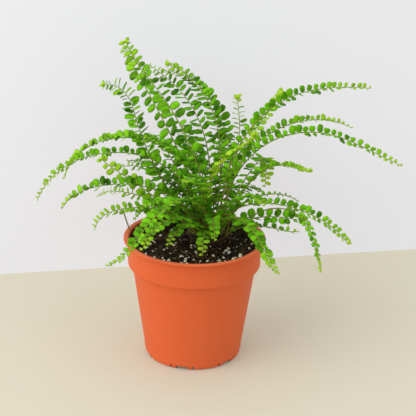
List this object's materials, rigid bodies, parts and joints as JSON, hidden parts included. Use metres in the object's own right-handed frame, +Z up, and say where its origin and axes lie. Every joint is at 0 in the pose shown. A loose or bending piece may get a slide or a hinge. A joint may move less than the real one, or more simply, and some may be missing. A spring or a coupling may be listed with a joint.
{
  "type": "potted fern",
  "caption": "Button fern with arching fronds of small round leaflets, growing in potting mix in a round tapered nursery pot with a collar and drain slots.",
  "frame": {"origin": "centre of the pot's flat underside", "axes": "+Z up the pot's axis; +X to the plant's right as seen from the front, -Y towards the front"},
  "size_m": [0.259, 0.2206, 0.2319],
  "materials": {
    "terracotta_plastic": "matte, terracotta orange",
    "potting_mix": "damp, dark brown, with pale perlite",
    "crown_fibre": "rough brown fibre",
    "grown_leaf": "satin mid green",
    "young_leaf": "satin lime green"
  },
  "bodies": {
    "root": {"frond_01": "grown_leaf", "frond_02": "grown_leaf", "frond_03": "grown_leaf", "frond_04": "grown_leaf", "frond_05": "grown_leaf", "frond_06": "grown_leaf", "frond_07": "grown_leaf", "frond_08": "grown_leaf", "frond_09": "grown_leaf", "frond_10": "grown_leaf", "frond_11": "grown_leaf", "frond_12": "grown_leaf", "frond_13": "grown_leaf", "frond_14": "grown_leaf", "frond_15": "grown_leaf", "frond_16": "grown_leaf", "frond_17": "grown_leaf", "frond_18": "grown_leaf", "frond_19": "grown_leaf", "frond_20": "grown_leaf", "frond_21": "grown_leaf", "frond_22": "grown_leaf", "frond_23": "grown_leaf", "frond_24": "grown_leaf", "frond_25": "grown_leaf", "frond_26": "grown_leaf", "frond_27": "grown_leaf", "frond_28": "grown_leaf", "frond_29": "grown_leaf", "frond_30": "grown_leaf", "frond_31": "grown_leaf", "frond_32": "grown_leaf", "frond_33": "grown_leaf", "frond_34": "grown_leaf", "frond_35": "grown_leaf", "frond_36": "grown_leaf", "frond_37": "grown_leaf", "frond_38": "grown_leaf", "frond_39": "grown_leaf", "frond_40": "grown_leaf", "frond_41": "grown_leaf", "pot": "terracotta_plastic", "rhizome_crown": "crown_fibre", "soil": "potting_mix", "young_frond_01": "young_leaf", "young_frond_02": "young_leaf", "young_frond_03": "young_leaf", "young_frond_04": "young_leaf", "young_frond_05": "young_leaf"}
  },
  "joints": []
}
